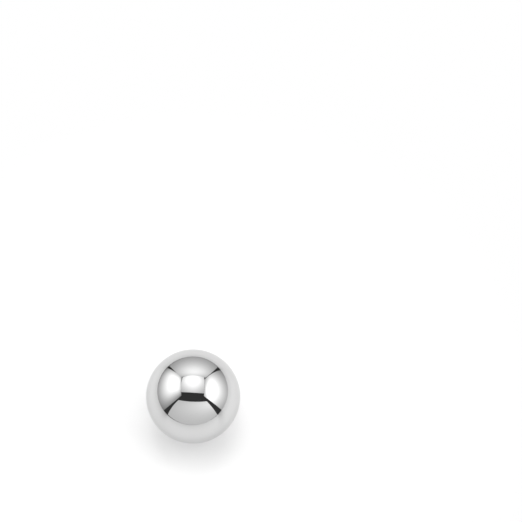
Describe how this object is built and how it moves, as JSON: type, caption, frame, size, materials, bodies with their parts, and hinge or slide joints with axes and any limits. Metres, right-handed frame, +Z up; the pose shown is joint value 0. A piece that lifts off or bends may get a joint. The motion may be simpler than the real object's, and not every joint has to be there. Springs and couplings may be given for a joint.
{
  "type": "steel ball",
  "caption": "Solid steel ball with a mirror polish, a plain sphere that rolls, spaces, weighs or closes a seat.",
  "frame": {"origin": "centre of the ball", "axes": "+Z up; the ball is the same all round, so +X and +Y point to no feature of it"},
  "size_m": [0.02, 0.02, 0.02],
  "materials": {
    "polished_steel": "polished"
  },
  "bodies": {
    "root": {"ball": "polished_steel"}
  },
  "joints": []
}
